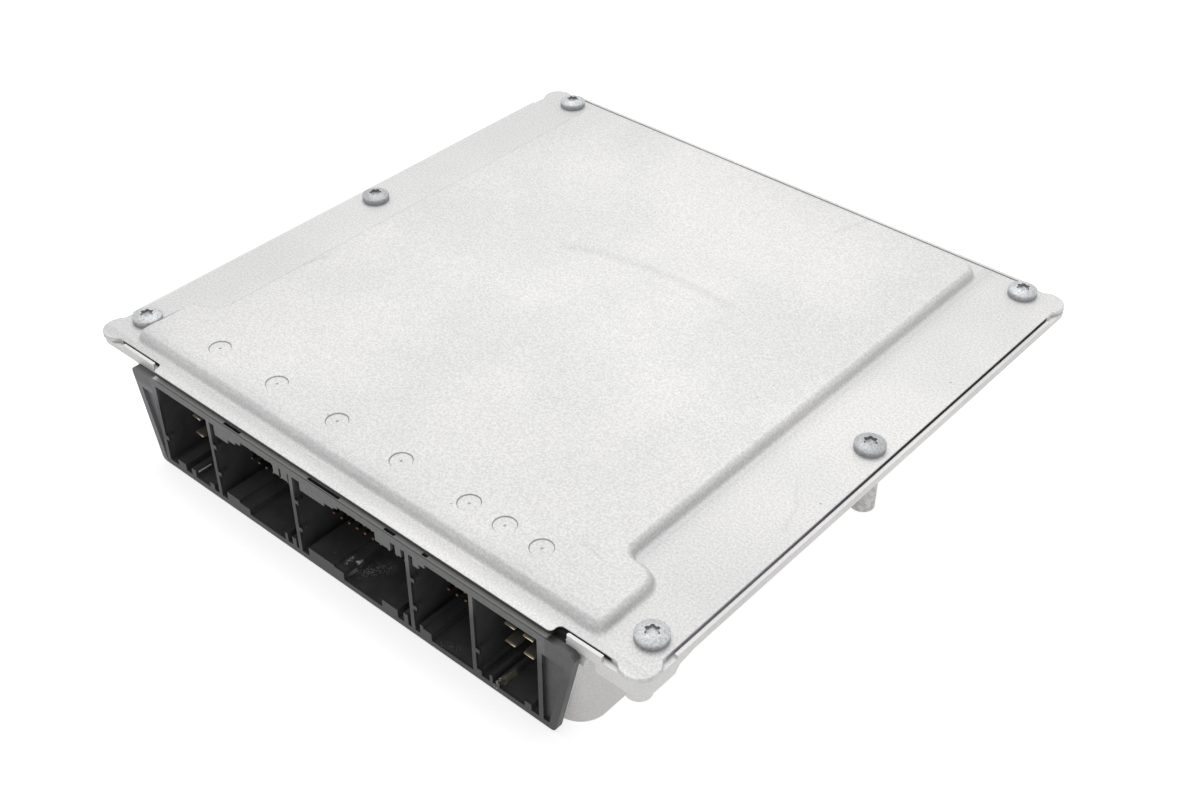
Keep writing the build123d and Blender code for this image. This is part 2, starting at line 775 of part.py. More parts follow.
drivers = [driver_first + driver_pitch * index for index in range(driver_count)]
transistors = both_sides(transistor_places)
memories = both_sides((memory_x,))
diodes = both_sides(diode_places)
save("circuit_board", circuit_board())
save_group("board_screws", [Pos(x, y, board_top) * board_screw() for x, y in post_places()])
save_group("processor", chips((0,), (processor_row,), processor_size, processor_height))
save_group("memory_chips", chips(memories, (processor_row,), memory_size, memory_height))
save_group("driver_chips", chips(drivers, (driver_row,), driver_size, driver_height))
save_group("power_transistors", chips(transistors, (transistor_row,), power_size, power_height))
save_group("voltage_regulator", chips((regulator_x,), (regulator_row,), power_size, power_height))
save_group("crystal", chips((0,), (crystal_row,), crystal_size, crystal_height))
save("power_choke", choke(choke_x, board_back - choke_row))
save_group("bulk_capacitors", [can(x, board_back - bulk_row, bulk_radius, bulk_height) for x in bulk_places])
save_group("small_capacitors", chips(small_places, small_rows, small_size, small_height))
save_group("shunt_resistors", chips(shunt_places, (shunt_row,), shunt_size, shunt_height))
save_group("suppressor_diodes", chips(diodes, (diode_row,), diode_size, diode_height))
save_group("thermal_pads", thermal_pads())
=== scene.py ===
import math

import bmesh
import bpy
import numpy as np
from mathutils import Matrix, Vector
from mathutils.geometry import delaunay_2d_cdt


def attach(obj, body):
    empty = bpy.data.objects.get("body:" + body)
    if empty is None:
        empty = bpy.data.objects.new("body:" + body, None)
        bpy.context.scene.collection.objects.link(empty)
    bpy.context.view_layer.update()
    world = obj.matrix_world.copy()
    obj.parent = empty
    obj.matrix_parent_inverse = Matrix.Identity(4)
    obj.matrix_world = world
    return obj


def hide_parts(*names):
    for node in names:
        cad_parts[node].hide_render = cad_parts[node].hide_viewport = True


# Engine control unit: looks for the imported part. Shapes and the bounds of tones are
# written in millimetres and turned into metres where a mesh or a node is made.

MM = 0.001
BODY = "root"

# Heights
SEAT = 26.7                  # face that the lid lies on
SHEET = 1.2                  # thickness of the lid's sheet
LID_TOP = SEAT + SHEET

# Plan of the lid
EDGE_X = 82.25
EDGE_FRONT = -78.2
EDGE_BACK = 80.0
TONGUE_LEFT = -60.4
TONGUE_RIGHT = 62.1
TONGUE_TIP = -80.75
TONGUE_ROUND = 1.1
EAR_X = 79.55
EAR_FRONT = -75.55
EAR_BACK = 76.6
EAR_BACK_X = 79.1
EAR_RADIUS = 4.2
EAR_BLEND = 1.6
EDGE_ROUND = 0.18            # upper edge of the sheet
EDGE_UNDER = 0.12            # lower edge of the sheet

# Raised centre of the lid
RISE = 2.5
CENTRE_TOP = LID_TOP + RISE
DRAFT = 17.0                 # degrees from upright
FOOT_ROUND = 0.7
BRIM_ROUND = 1.5
PLATEAU = (
    (-73.4, -76.0, 2.6),
    (70.0, -76.0, 2.6),
    (70.0, -56.5, 5.2),
    (60.8, -56.5, 2.6),
    (60.8, 77.55, 5.2),
    (-66.1, 77.55, 5.2),
    (-66.1, -56.5, 2.6),
    (-73.4, -58.9, 2.6),
)

# Pressed spots of the lid
SPOT_Y = -67.05
SPOT_XS = (-52.8, -32.8, -12.8, 7.2, 27.2, 37.2, 47.2)
SPOT_RADIUS = 2.62
SPOT_DEPTH = 0.28
SPOT_FLOOR = CENTRE_TOP - SPOT_DEPTH
# Radius and depth, from the rim to the mark in the middle
SPOT_PROFILE = (
    (SPOT_RADIUS + 0.06, 0),
    (SPOT_RADIUS, 0.04),
    (SPOT_RADIUS - 0.2, SPOT_DEPTH),
    (SPOT_RADIUS - 0.4, SPOT_DEPTH),
    (0.34, SPOT_DEPTH),
    (0.24, SPOT_DEPTH + 0.12),
)

# Connector, as the solids have it
MOUTH = -81.25               # front face of the connector's plate
BLADE_TIP = -74.95
PIN_TIP = -73.25

# Screws of the lid: places, and the turn of each drive in radians
SCREWS = (
    (-77.3, -69.45),
    (77.3, -69.45),
    (-77.3, 3.25),
    (77.3, 3.25),
    (-72.9, 75.95),
    (72.9, 75.95),
)
SCREW_TURNS = (0.3, 0.12, 0.8, 0.05, 0.55, 0.9)
SCREW_HOLE = 2.0
HEAD_RADIUS = 3.5
HEAD_HEIGHT = 2.3
HEAD_TOP = LID_TOP + HEAD_HEIGHT
HEAD_BAND = 1.4
HEAD_FOOT = 0.12             # broken edge at the foot of the head
BAND_BREAK = 0.1             # broken edge above the band: height and inset
BAND_INSET = 0.04
# Rings of the dome, as shares of the way from the drive to the head's edge
CROWN_SHARES = (0.97, 0.85, 0.7, 0.5, 0.3, 0.15, 0.05)
LOBES = 6
LOBE_OUT = 1.65
LOBE_IN = 1.2
LOBE_FLATNESS = 0.7          # power that flattens the lobes' wave
DRIVE_DEPTH = 1.05
DRIVE_FLOOR = HEAD_TOP - DRIVE_DEPTH
DRIVE_LIP = 0.06             # broken edge round the drive's mouth
DRIVE_TAPER = 0.04           # walls of the drive, over their height
DRIVE_ROUND = 0.1            # between the drive's walls and its floor
DRIVE_SOLE = 0.8             # floor's outline as a share of the drive's
SHANK_RADIUS = 1.65
SHANK_END = -5.8
SHANK_POINT = 0.25           # by which the shank's end is slimmer
THREAD_DEPTH = 0.3
THREAD_PITCH = 1.0
THREAD_ROWS = 70
THREAD_FADE = 6              # rows over which the thread and the slim end run out

# Steps along arcs and round circles
OUTLINE_STEPS = 6
LONG_ARC = 4                 # an ear's outer arc has this many times the steps
SHEET_STEPS = 4
CORNER_STEPS = 8
SLOPE_STEPS = 6
HOLLOW_STEPS = 3
CIRCLE_STEPS = 48
HOLE_STEPS = 24
SCREW_STEPS = 72

# Edges of the meshes
LID_SHARP = 50               # degrees above which an edge stays sharp
SCREW_SHARP = 38
WELD = 2e-6                  # metres within which points are joined
FLAT = 0.6                   # degrees within which faces count as one
MEETING = 1e-6               # millimetres within which points of a fill are one
BROKEN = 32                  # degrees above which an edge is broken
TRAY_BREAK = 0.22
HOUSING_BREAK = 0.12
CONTACT_BREAK = 0.06

# Textures: scales in cycles per metre. The radius of a speck or of dust is a share of
# its cell's width, and the share says how many of the cells hold one.
METAL_CLOUD = 26
METAL_GRAIN = 1900
METAL_RELIEF = 0.00002       # metres
METAL_SPECKS = 140
SPECK_RADIUS = 0.035
SPECK_SHARE = 0.16
SPECK_STRENGTH = 0.55
PLASTIC_CLOUD = 160
PLASTIC_GRAIN = 3200
PLASTIC_RELIEF = 0.00001
PLASTIC_DUST = 900
DUST_RADIUS = 0.09
DUST_SHARE = 0.1
DUST_STRENGTH = 0.35
PLAIN_CLOUD = 600
MOTTLE = 900
LID_SAND = 1500
SCUFF_DUST = 2600
# Parts of a noise's range that count
MIDDLE = (0.35, 0.65)
WIDE = (0.3, 0.7)
FINE = (0.52, 0.6)

# Tones, as display colours
GRIT = (96, 96, 98)
SPECK = (88, 88, 90)
PALE_DUST = (150, 150, 150)
# Painted shade on the lid, also the tone of its coarse sand grains and small specks
PAINTED_SHADE_AND_GRIT = (120, 121, 126)
# Painted shade on the walls and the middle marks of the pressed spots
SPOT_PAINTED_SHADE = (84, 84, 88)

# Washes: tone, strength and bounds. A bound is an axis, where it starts, where it is
# full and, if it starts above nothing, its least share. The axes are x, y, z, "side"
# for the distance from the centre line, and "reach" for that from the nearest screw.

# Bounds that several washes share: low at the slope's foot, behind the step of the
# raised centre's outline, and along the row of spots to just past its last one
LID_LOW = ("z", LID_TOP + 0.9, LID_TOP + 0.4)
LID_BEYOND = ("y", -56.2, -55.2)
SPOT_ROW_END = ("x", 53.0, 52.0)
LID_PAINTED_SHADE = (
    # Painted shade at the foot of the right slope, and a faint line of painted shade outside it
    (PAINTED_SHADE_AND_GRIT, 0.1, (LID_LOW, LID_BEYOND, ("x", 66.5, 60.8), ("x", 59.5, 60.8))),
    (PAINTED_SHADE_AND_GRIT, 0.06, (LID_LOW, LID_BEYOND, ("x", 61.8, 62.2), ("x", 62.9, 62.5))),
    # Painted shade on the border in front of the slope
    (PAINTED_SHADE_AND_GRIT, 0.12, (LID_LOW, ("y", -79.6, -78.0), ("y", -75.6, -77.2), ("y", -76.4, -76.8))),
    # Painted shade on the straight run of the slope and on its brim at the front
    (PAINTED_SHADE_AND_GRIT, 0.05, (("z", LID_TOP + 0.3, LID_TOP + 0.8), ("z", LID_TOP + 1.8, LID_TOP + 1.3))),
    (PAINTED_SHADE_AND_GRIT, 0.1, (("z", LID_TOP + 1.6, LID_TOP + 2.2), ("y", -70.5, -74.5))),
    # Painted shade on the walls of the spots and on the marks in their middle
    (
        SPOT_PAINTED_SHADE,
        0.55,
        (
            ("z", SPOT_FLOOR + 0.01, SPOT_FLOOR + 0.03),
            ("z", CENTRE_TOP - 0.03, CENTRE_TOP - 0.05),
            ("y", SPOT_Y - 3.2, SPOT_Y - 3.0),
            ("y", SPOT_Y + 3.2, SPOT_Y + 3.0),
            SPOT_ROW_END,
        ),
    ),
    (
        SPOT_PAINTED_SHADE,
        0.45,
        (
            ("z", SPOT_FLOOR - 0.23, SPOT_FLOOR - 0.2),
            ("z", SPOT_FLOOR - 0.03, SPOT_FLOOR - 0.06),
            ("y", SPOT_Y - 1.2, SPOT_Y - 1.0),
            ("y", SPOT_Y + 1.2, SPOT_Y + 1.0),
            SPOT_ROW_END,
        ),
    ),
    # Broad painted shade that darkens the lid towards the left, the back and the right front
    (PAINTED_SHADE_AND_GRIT, 0.1, (("x", -30, -85),)),
    (PAINTED_SHADE_AND_GRIT, 0.04, (("y", 50, 85),)),
    (PAINTED_SHADE_AND_GRIT, 0.13, (("y", 0, -50), ("y", -78.5, -75.5, 0.3), ("x", -40, 50, 0.4))),
)

# Coarser sand on the left of the front border, its grains darker by up to this strength
SAND_STRENGTH = 0.12
SAND_BOUNDS = (("y", -76.4, -77.2), ("x", 20, 0))

# Cut edge of the sheet, below its rounded upper edge: painted shade at the front, darkest towards the
# top, and at the right painted light near the front that turns to painted shade towards the back
CUT = ("z", LID_TOP - 0.08, LID_TOP - 0.2)
FRONT_CUT = (CUT, ("y", EDGE_FRONT + 0.4, EDGE_FRONT + 0.1), ("side", 75.5, 74.5))
FRONT_CUT_SHADE = (40, 40, 42)
FRONT_CUT_TOP_SHADE = (((8, 8, 10), 1.0, (("z", SEAT, SEAT + 0.6),)),)
SIDE_CUT = (CUT, ("x", 81.7, 81.9), ("y", -71.5, -71.0), ("y", 71.5, 71.0))
SIDE_CUT_LIGHT = (168, 166, 174)
SIDE_CUT_BACK_SHADE = (((56, 54, 62), 1.0, (("y", -55, 20),)),)

# Soft creases of the lid painted as lines of shade, and its small specks: points in plan, half width
# and strength
CREASES = (
    (((-21.9, 16.3), (-13.1, 19.8), (0, 22.4), (13.1, 23.3), (24.5, 22.4)), 2.4, 0.1),
    (((25.4, 66.2), (28.9, 77.6)), 1.2, 0.1),
    (((-67.4, -41.5), (-63.0, -25.7)), 1.0, 0.12),
    (((52.5, -60.9), (57.8, -61.6)), 0.7, 0.12),
    (((72.6, -17.0), (76.5, -22.0), (78.8, -30.0)), 0.9, 0.08),
    (((50.5, -1.1), (50.65, -1.1)), 0.3, 0.75),
    (((78.3, 34.3), (78.45, 34.3)), 0.3, 0.75),
    (((79.5, -18.2), (79.65, -18.2)), 0.3, 0.75),
    (((-15.8, -67.1), (-15.65, -67.1)), 0.3, 0.75),
    (((24.6, -69.7), (24.75, -69.7)), 0.3, 0.75),
)

# Tray: painted shadow in the notch of the flange beside the tongue, and darker, mottled side bosses
TRAY_NOTCH_SHADOW = (
    ((58, 58, 60), 1.0, (("x", 60.4, 60.6), ("x", 64.6, 64.4), ("y", -77.0, -77.2), ("z", 23.6, 24.0))),
)
BOSS_TONE = (150, 149, 146)
BOSS_MOTTLE = (0.2, 0.55)
BOSS_BOUNDS = (("side", 74.5, 75.5), ("z", 23.5, 22.5), ("y", -16, -14), ("y", 16, 14))

# Screws: painted shade on the walls of the drive and on the head's band, and the pair halfway back made
# darker
SCREW_WASHES = (
    (
        (150, 152, 155),
        1.0,
        (
            ("reach", LOBE_OUT + 0.14, LOBE_OUT + 0.08),
            ("z", DRIVE_FLOOR + 0.06, DRIVE_FLOOR + 0.12),
            ("z", HEAD_TOP - 0.24, HEAD_TOP - 0.3),
        ),
    ),
    (
        (92, 93, 96),
        0.5,
        (
            ("reach", LOBE_OUT + 0.5, LOBE_OUT + 0.8),
            ("z", LID_TOP + HEAD_BAND + 0.1, LID_TOP + HEAD_BAND - 0.9),
        ),
    ),
    ((120, 122, 124), 0.3, (("y", -60, -30), ("y", 60, 30))),
)

# Housing: face at the mouth of the bays, its tone set by height and across as painted light and shade,
# with a mottling
FACE_BOUNDS = (("y", MOUTH + 0.9, MOUTH + 0.25),)
FACE_MOTTLE = (0.7, 1.0)
FACE_PAINTED_TONE = (61, 61, 63)
FACE_LIGHT_AND_SHADE = (
    ((41, 41, 43), 1.0, (("z", 4.0, 6.5),)),
    ((22, 22, 23), 0.4, (("x", 15, 45),)),
    ((110, 110, 110), 1.0, (("z", 17.0, 22.5),)),
    ((66, 66, 67), 0.6, (("x", 60.2, 61.2),)),
)

# Housing: left end of the plate, beside the bays, made lighter as painted light, with painted shade
# towards its top
END_BOUNDS = (("x", -61.2, -61.8), ("y", -79.0, -79.5))
END_STRENGTH = 0.7
END_PAINTED_LIGHT = (134, 134, 137)
END_TOP_SHADE = (((84, 84, 86), 1.0, (("z", 21, 23),)),)

# Housing: top face of the plate lightened as painted light, with painted shade under the tongue and at
# its front edge
TOP_BOUNDS = (
    ("z", 25.35, 25.52),
    ("x", TONGUE_LEFT - 0.8, TONGUE_LEFT),
    ("x", TONGUE_RIGHT - 0.7, TONGUE_RIGHT - 1.5),
)
TOP_PAINTED_LIGHT = (222, 222, 219)
TOP_PAINTED_SHADE = (
    ((22, 22, 23), 1.0, (("y", -79.7, -79.0),)),
    ((120, 120, 120), 1.0, (("y", -80.7, -81.15),)),
)

# Scuffs in the bays and chips of the plate: points in plan, half width, lowest and
# highest z, share of flecks and tone
SCUFF_SOFT = 0.1             # softness above and below a scuff
SCUFFS = (
    (((-50.05, -80.3), (-50.05, -77.0)), 0.4, 3.0, 3.4, 0.0, (240, 240, 236)),
    (((0.9, -76.9), (2.1, -76.1)), 0.5, 3.4, 4.8, 0.0, (255, 255, 255)),
    (((1.5, -77.0), (1.5, -75.8)), 0.5, 3.4, 4.8, 0.0, (255, 255, 255)),
    (((-0.5, -78.6), (-0.9, -76.4)), 1.0, 3.4, 4.8, 1.0, (200, 200, 202)),
    (((2.8, -76.8), (5.6, -72.6)), 3.2, 1.2, 3.0, 1.0, (150, 150, 152)),
    (((1.0, -80.8), (1.3, -77.6)), 0.25, 1.2, 3.0, 0.0, (150, 150, 152)),
    (((-4.8, -78.6), (-4.4, -78.4)), 0.4, 3.4, 5.2, 0.4, (105, 105, 107)),
    (((30.5, -80.3), (34.0, -79.2)), 1.6, 1.2, 3.0, 1.0, (110, 110, 112)),
    (((46.7, -81.2), (47.6, -79.6)), 0.9, 1.2, 5.0, 1.0, (220, 216, 202)),
    (((47.6, -79.6), (47.9, -76.3)), 0.5, 1.6, 5.0, 0.5, (150, 144, 122)),
    (((69.2, -81.25), (69.3, -81.0)), 0.5, 25.0, 25.6, 0.3, (190, 188, 172)),
    (((68.8, -81.25), (68.9, -81.0)), 0.5, 21.2, 21.9, 0.3, (200, 198, 180)),
    (((67.2, -81.25), (67.3, -81.0)), 0.6, 14.3, 15.4, 0.3, (210, 206, 184)),
)

# Contacts: bright at the tip, with painted shade behind it that darkens with depth
PIN_PAINTED_SHADE = (((30, 27, 24), 1.0, (("y", PIN_TIP + 0.1, PIN_TIP + 0.3),)),)
BLADE_BOUNDS = (("y", BLADE_TIP + 0.3, BLADE_TIP + 0.45),)
BLADE_SHADE_TONE = (186, 184, 170)
BLADE_DEPTH_SHADE = (((80, 74, 64), 1.0, (("y", BLADE_TIP + 0.4, BLADE_TIP + 6.0),)),)

# Plain finishes of the hidden pieces: tone, roughness and metallic share
FINISHES = {
    "seal_silicone": ((60, 60, 64), 0.6, 0.0),
    "board_mask": ((34, 88, 52), 0.4, 0.0),
    "package_epoxy": ((34, 34, 36), 0.5, 0.0),
    "can_aluminium": ((190, 192, 194), 0.35, 1.0),
    "crystal_case": ((205, 205, 203), 0.3, 1.0),
    "ferrite": ((58, 56, 56), 0.6, 0.0),
    "chip_ceramic": ((168, 138, 104), 0.5, 0.0),
    "thermal_pad": ((150, 165, 175), 0.7, 0.0),
}

# Hidden nodes that keep their CAD mesh, and the finish of each
KEPT_NODES = {
    "signal_carrier_left": "carrier_plastic",
    "signal_carrier_middle": "carrier_plastic",
    "signal_carrier_right": "carrier_plastic",
    "power_carrier_left": "carrier_plastic",
    "power_carrier_right": "carrier_plastic",
    "lid_seal": "seal_silicone",
    "connector_seal": "seal_silicone",
    "circuit_board": "board_mask",
    "board_screws": "screw_zinc",
    "processor": "package_epoxy",
    "memory_chips": "package_epoxy",
    "driver_chips": "package_epoxy",
    "power_transistors": "package_epoxy",
    "voltage_regulator": "package_epoxy",
    "suppressor_diodes": "package_epoxy",
    "crystal": "crystal_case",
    "power_choke": "ferrite",
    "bulk_capacitors": "can_aluminium",
    "small_capacitors": "chip_ceramic",
    "shunt_resistors": "chip_ceramic",
    "thermal_pads": "thermal_pad",
}

# Stage, in metres
FLOOR_HALF = 4.0
FLOOR_TONE = (0.82, 0.82, 0.82, 1)
FLOOR_GLOW = 0.64
WHITE = (1, 1, 1, 1)
WORLD_LIGHT = 0.5
WORLD_SEEN = 1.0
# Lamps: name, place, aim, size and power
LAMPS = (
    ("key", (-0.5, 0.5, 1.5), (0, 0, 0.02), 1.1, 9.5),
    ("fill", (0.9, -0.9, 0.9), (0, 0, 0.02), 0.9, 0.8),
)

# Camera, in metres; lens and sensor in millimetres
CAMERA_AT = (0.20416, -0.22965, 0.24641)
CAMERA_AIM = (0.02298, -0.02211, 0.0279)
CAMERA_LENS = 47.68
CAMERA_NEAR = 0.01
SENSOR = 36.0

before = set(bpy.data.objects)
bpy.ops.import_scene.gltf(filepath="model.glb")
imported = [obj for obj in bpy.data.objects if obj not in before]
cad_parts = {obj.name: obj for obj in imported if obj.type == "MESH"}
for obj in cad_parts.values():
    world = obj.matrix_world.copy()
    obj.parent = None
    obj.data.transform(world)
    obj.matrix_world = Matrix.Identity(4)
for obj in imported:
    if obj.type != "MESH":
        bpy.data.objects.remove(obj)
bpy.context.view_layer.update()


# Outlines


def arc(centre, radius, start, turn, steps):
    """Points of an arc, its angles in degrees.

    They are the centre plus the radius times cosine and sine of evenly spaced angles.
    """
    angles = np.radians(start + turn * np.linspace(0, 1, steps + 1))
    return np.column_stack((centre[0] + radius * np.cos(angles), centre[1] + radius * np.sin(angles)))


def rounded(corners, inset):
    """Closed outline through rounded corners (x, y, radius), moved inwards.

    Each corner moves along its bisector. Its arc's radius falls by the inset on an
    outward corner and grows by it on an inward one.
    """
    parts = []
    count = len(corners)
    for index in range(count):
        before = np.array(corners[index - 1][:2])
        here = np.array(corners[index][:2])
        after = np.array(corners[(index + 1) % count][:2])
        into = (here - before) / np.linalg.norm(here - before)
        out = (after - here) / np.linalg.norm(after - here)
        normal_in = np.array((-into[1], into[0]))
        normal_out = np.array((-out[1], out[0]))
        bisector = (normal_in + normal_out) / (1 + normal_in @ normal_out)
        turn = math.atan2(into[0] * out[1] - into[1] * out[0], into @ out)
        side = 1 if turn > 0 else -1
        radius = corners[index][2] - side * inset
        centre = here + bisector * (inset + side * radius)
        start = math.atan2(-side * normal_in[1], -side * normal_in[0])
        parts.append(arc(centre, radius, math.degrees(start), math.degrees(turn), CORNER_STEPS))
    return np.vstack(parts)


def ear(x, y, side_x, side_y, inset):
    """Outline of one ear, from one straight edge of the lid to the other, anticlockwise.

    A hollow arc touches the straight edge and the ear's circle: its centre lies at the
    sum of both radii from the ear's centre and at its own radius outside the edge.
    """
    reach = EAR_RADIUS + EAR_BLEND
    edge_x = EDGE_X - abs(x)
    edge_y = (EDGE_BACK if side_y > 0 else -EDGE_FRONT) - abs(y)
    along_x = math.sqrt(reach**2 - (edge_x + EAR_BLEND) ** 2)
    along_y = math.sqrt(reach**2 - (edge_y + EAR_BLEND) ** 2)
    first = math.degrees(math.atan2(along_x, -edge_x - EAR_BLEND))
    last = math.degrees(math.atan2(edge_y + EAR_BLEND, -along_y))
    hollow = EAR_BLEND + inset
    outer_steps = LONG_ARC * OUTLINE_STEPS
    points = np.vstack(
        (
            arc((edge_x + EAR_BLEND, -along_x), hollow, 180, first - 180, OUTLINE_STEPS),
            arc((0, 0), EAR_RADIUS - inset, first - 180, last - first + 180, outer_steps),
            arc((-along_y, edge_y + EAR_BLEND), hollow, last - 180, 90 - last, OUTLINE_STEPS),
        )
    )
    points *= (side_x, side_y)
    if side_x * side_y < 0:
        points = points[::-1]
    return points + (x, y)


def lid_outline(inset):
    """Outline of the sheet: four ears, straight edges, and the tongue across the front."""
    left, right = TONGUE_LEFT + inset, TONGUE_RIGHT - inset
    root, tip = EDGE_FRONT + inset, TONGUE_TIP + inset
    hollow, full = TONGUE_ROUND + inset, TONGUE_ROUND - inset
    tongue = (
        arc((left - hollow, root - hollow), hollow, 90, -90, OUTLINE_STEPS),
        arc((left + full, tip + full), full, 180, 90, OUTLINE_STEPS),
        arc((right - full, tip + full), full, -90, 90, OUTLINE_STEPS),
        arc((right + hollow, root - hollow), hollow, 180, -90, OUTLINE_STEPS),
    )
    return np.vstack(
        (
            ear(-EAR_X, EAR_FRONT, -1, -1, inset),
            *tongue,
            ear(EAR_X, EAR_FRONT, 1, -1, inset),
            ear(EAR_BACK_X, EAR_BACK, 1, 1, inset),
            ear(-EAR_BACK_X, EAR_BACK, -1, 1, inset),
        )
    )


def circle(x, y, radius, steps):
    """Closed circle of points."""
    return arc((x, y), radius, 0, 360 * (steps - 1) / steps, steps - 1)


def slope_profile(foot_round, brim_round, steps):
    """Inset and height along the side of the raised centre.

    A hollow arc leaves the flat, a straight run leans in by the draft, and a full arc
    ends on the top; both arcs turn through the run's steepness.
    """
    steep = 90 - DRAFT
    half = math.tan(math.radians(steep / 2))
    top = RISE * math.tan(math.radians(DRAFT))
    foot = arc((-foot_round * half, foot_round), foot_round, -90, steep, steps)
    brim = arc((top + brim_round * half, RISE - brim_round), brim_round, 90 + steep, -steep, steps)
    return np.vstack((foot, brim))


# Meshes


def linked(name, data):
    """New object in the scene."""
    piece = bpy.data.objects.new(name, data)
    bpy.context.scene.collection.objects.link(piece)
    return piece


def inside(points, outline):
    """True for each point that lies inside a closed outline, by the even-odd rule."""
    x, y = points[:, :1], points[:, 1:]
    x0, y0 = outline[:, 0], outline[:, 1]
    x1, y1 = np.roll(x0, -1), np.roll(y0, -1)
    crosses = (y0 > y) != (y1 > y)
    rise = np.where(y1 == y0, 1, y1 - y0)
    left = x < (x1 - x0) * (y - y0) / rise + x0
    return (crosses & left).sum(axis=1) % 2 == 1


class Skin:
    """Points and faces of a piece in millimetres, built up loop by loop."""

    def __init__(self):
        self.points = []
        self.faces = []

    def loop(self, outline, height):
        """Add an outline at one height, or at a height for each point."""
        start = len(self.points)
        heights = np.broadcast_to(height, len(outline))
        self.points.extend((x, y, z) for (x, y), z in zip(outline, heights))
        return list(range(start, start + len(outline)))

    def band(self, low, high):
        """Join two loops of equal length with quads."""
        for index in range(len(low)):
            after = (index + 1) % len(low)
            self.faces.append((low[index], low[after], high[after], high[index]))

    def bands(self, loops):
        """Join each loop to the next."""
        for low, high in zip(loops, loops[1:]):
            self.band(low, high)

    def plan(self, ids):
        """Points in plan."""
        return np.array([self.points[index][:2] for index in ids])

    def fill(self, outer, holes=()):
        """Fill between an outer loop and holes with triangles."""
        ids = [index for loop in (outer, *holes) for index in loop]
        places = [Vector(self.points[index][:2]) for index in ids]
        edges = []
        start = 0
        for loop in (outer, *holes):
            edges.extend((start + i, start + (i + 1) % len(loop)) for i in range(len(loop)))
            start += len(loop)
        _, _, triangles, origins, _, _ = delaunay_2d_cdt(places, edges, [], 1, MEETING)
        corners = np.array([ids[origin[0]] for origin in origins])[np.array(triangles)]
        centres = self.plan(corners.ravel()).reshape(-1, 3, 2).mean(axis=1)
        keep = inside(centres, self.plan(outer))
        for hole in holes:
            keep &= ~inside(centres, self.plan(hole))
        self.faces.extend(tuple(triangle) for triangle in corners[keep].tolist())

    def piece(self, name):
        """Make the object, in metres and with its faces turned outwards."""
        mesh = bpy.data.meshes.new(name)
        mesh.from_pydata([(x * MM, y * MM, z * MM) for x, y, z in self.points], [], self.faces)
        work = bmesh.new()
        work.from_mesh(mesh)
        bmesh.ops.recalc_face_normals(work, faces=work.faces)
        work.to_mesh(mesh)
        work.free()
        return linked(name, mesh)


def shade_smooth(piece):
    """Shade every face smooth."""
    piece.data.polygons.foreach_set("use_smooth", [True] * len(piece.data.polygons))


def weigh_normals(piece):
    """Let broad faces rule the normals between sharp edges."""
    weights = piece.modifiers.new("normals", "WEIGHTED_NORMAL")
    weights.keep_sharp = True


def smooth(piece, angle):
    """Shade smooth and keep edges above the angle sharp."""
    shade_smooth(piece)
    piece.data.set_sharp_from_angle(angle=math.radians(angle))
    weigh_normals(piece)


def joined_copy(node, name):
    """Copy of a CAD node with its loose triangles joined and flat areas made whole."""
    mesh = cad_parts[node].data.copy()
    mesh.name = name
    work = bmesh.new()
    work.from_mesh(mesh)
    bmesh.ops.remove_doubles(work, verts=work.verts, dist=WELD)
    bmesh.ops.dissolve_limit(
        work, angle_limit=math.radians(FLAT), verts=work.verts, edges=work.edges
    )
    work.to_mesh(mesh)
    work.free()
    mesh.materials.clear()
    return linked(name, mesh)


def soften(piece, width, steps=2):
    """Round the sharp edges of a joined copy."""
    shade_smooth(piece)
    bevel = piece.modifiers.new("edges", "BEVEL")
    bevel.width = width * MM
    bevel.segments = steps
    bevel.limit_method = "ANGLE"
    bevel.angle_limit = math.radians(BROKEN)
    bevel.use_clamp_overlap = True
    weigh_normals(piece)


def settle(piece, material, slot, *nodes):
    """Give a piece its material, and let it ride in place of the CAD nodes."""
    piece.data.materials.append(material)
    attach(piece, BODY)
    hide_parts(*nodes)


# Materials


def colour(red, green, blue):
    """Display colour from 0 to 255, turned into linear light by the sRGB curve."""
    shares = [value / 255 for value in (red, green, blue)]
    linear = [v / 12.92 if v <= 0.04045 else ((v + 0.055) / 1.055) ** 2.4 for v in shares]
    return (*linear, 1.0)


